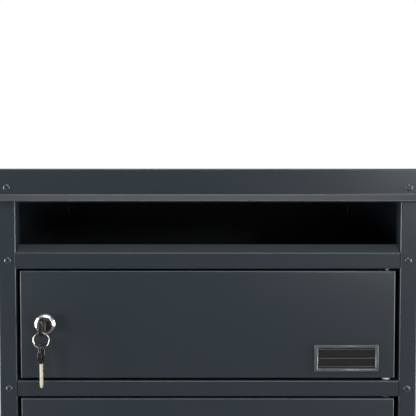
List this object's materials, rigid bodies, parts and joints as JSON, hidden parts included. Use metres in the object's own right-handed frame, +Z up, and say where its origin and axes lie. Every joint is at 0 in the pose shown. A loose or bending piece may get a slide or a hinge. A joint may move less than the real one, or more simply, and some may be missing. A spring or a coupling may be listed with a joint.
{
  "type": "cluster mailbox unit",
  "caption": "Cluster mailbox unit: riveted sheet-steel cabinet with an open drop slot over a column of compartments behind hinged, cam-locked doors.",
  "frame": {"origin": "centre of the cabinet's footprint on its underside", "axes": "+Z up, the doors and the slot face -Y, +X towards the hinge side of the doors"},
  "size_m": [0.4554, 0.4135, 0.6714],
  "materials": {
    "powder_coat": "anthracite powder coat, semi-gloss, on folded steel sheet",
    "rivet_paint": "anthracite paint on aluminium blind rivets, glossier than the sheet",
    "bright_steel": "bright zinc-plated steel",
    "white_nylon": "natural white moulded nylon",
    "clear_plastic": "clear moulded plastic cover",
    "black_card": "plain black card",
    "lock_chrome": "polished chrome plate",
    "plug_metal": "dark plated zinc casting",
    "zinc_steel": "zinc-plated steel",
    "key_metal": "nickel-plated brass, milled",
    "key_plastic": "black moulded plastic",
    "ring_metal": "nickel-plated spring steel wire"
  },
  "bodies": {
    "cabinet": {"roof_cap": "powder_coat", "left_side_panel": "powder_coat", "right_side_panel": "powder_coat", "back_panel": "powder_coat", "base_pan": "powder_coat", "slot_sill": "powder_coat", "drop_chute": "powder_coat", "hinge_pins": "bright_steel", "front_rivets": "rivet_paint", "left_side_rivets": "rivet_paint", "right_side_rivets": "rivet_paint", "roof_rivets": "rivet_paint", "shelf_1": "powder_coat", "shelf_2": "powder_coat", "shelf_3": "powder_coat"},
    "door_1": {"door_1_panel": "powder_coat", "door_1_bushes": "white_nylon", "door_1_label_holder": "clear_plastic", "door_1_label_card": "black_card", "door_1_lock_body": "lock_chrome", "door_1_lock_nut": "zinc_steel"},
    "lock_1": {"door_1_lock_plug": "plug_metal", "door_1_lock_cam": "zinc_steel", "door_1_cam_screw": "zinc_steel"},
    "door_2": {"door_2_panel": "powder_coat", "door_2_bushes": "white_nylon", "door_2_label_holder": "clear_plastic", "door_2_label_card": "black_card", "door_2_lock_body": "lock_chrome", "door_2_lock_nut": "zinc_steel"},
    "lock_2": {"door_2_lock_plug": "plug_metal", "door_2_lock_cam": "zinc_steel", "door_2_cam_screw": "zinc_steel"},
    "door_3": {"door_3_panel": "powder_coat", "door_3_bushes": "white_nylon", "door_3_label_holder": "clear_plastic", "door_3_label_card": "black_card", "door_3_lock_body": "lock_chrome", "door_3_lock_nut": "zinc_steel"},
    "lock_3": {"door_3_lock_plug": "plug_metal", "door_3_lock_cam": "zinc_steel", "door_3_cam_screw": "zinc_steel"},
    "door_4": {"door_4_panel": "powder_coat", "door_4_bushes": "white_nylon", "door_4_label_holder": "clear_plastic", "door_4_label_card": "black_card", "door_4_lock_body": "lock_chrome", "door_4_lock_nut": "zinc_steel"},
    "lock_4": {"door_4_lock_plug": "plug_metal", "door_4_lock_cam": "zinc_steel", "door_4_cam_screw": "zinc_steel"},
    "key": {"key_blade": "key_metal", "key_bow": "key_plastic"},
    "ring": {"key_ring": "ring_metal"},
    "spare_key": {"spare_key_blade": "key_metal", "spare_key_bow": "key_plastic"}
  },
  "joints": [
    {"name": "door_1_hinge", "type": "hinge", "parent": "cabinet", "child": "door_1", "pos_m": [0.1936, -0.1845, 0.5024], "axis": [0, 0, 1], "range_deg": [0, 95]},
    {"name": "lock_1_turn", "type": "hinge", "parent": "door_1", "child": "lock_1", "pos_m": [-0.1751, -0.1925, 0.5029], "axis": [0, 1, 0], "range_deg": [0, 90]},
    {"name": "door_2_hinge", "type": "hinge", "parent": "cabinet", "child": "door_2", "pos_m": [0.1936, -0.1845, 0.3639], "axis": [0, 0, 1], "range_deg": [0, 95]},
    {"name": "lock_2_turn", "type": "hinge", "parent": "door_2", "child": "lock_2", "pos_m": [-0.1751, -0.1925, 0.3644], "axis": [0, 1, 0], "range_deg": [0, 90]},
    {"name": "door_3_hinge", "type": "hinge", "parent": "cabinet", "child": "door_3", "pos_m": [0.1936, -0.1845, 0.2254], "axis": [0, 0, 1], "range_deg": [0, 95]},
    {"name": "lock_3_turn", "type": "hinge", "parent": "door_3", "child": "lock_3", "pos_m": [-0.1751, -0.1925, 0.2259], "axis": [0, 1, 0], "range_deg": [0, 90]},
    {"name": "door_4_hinge", "type": "hinge", "parent": "cabinet", "child": "door_4", "pos_m": [0.1936, -0.1845, 0.0869], "axis": [0, 0, 1], "range_deg": [0, 95]},
    {"name": "lock_4_turn", "type": "hinge", "parent": "door_4", "child": "lock_4", "pos_m": [-0.1751, -0.1925, 0.0874], "axis": [0, 1, 0], "range_deg": [0, 90]},
    {"name": "key_pull", "type": "slide", "parent": "lock_1", "child": "key", "axis": [0, -1, 0], "range_m": [0, 0.03]},
    {"name": "ring_swing", "type": "hinge", "parent": "key", "child": "ring", "pos_m": [-0.1751, -0.212, 0.4953], "axis": [0, -1, 0], "range_deg": [-20, 90]},
    {"name": "spare_key_swing", "type": "hinge", "parent": "ring", "child": "spare_key", "pos_m": [-0.1751, -0.212, 0.4812], "axis": [-1, 0, 0], "range_deg": [-20, 75]}
  ]
}
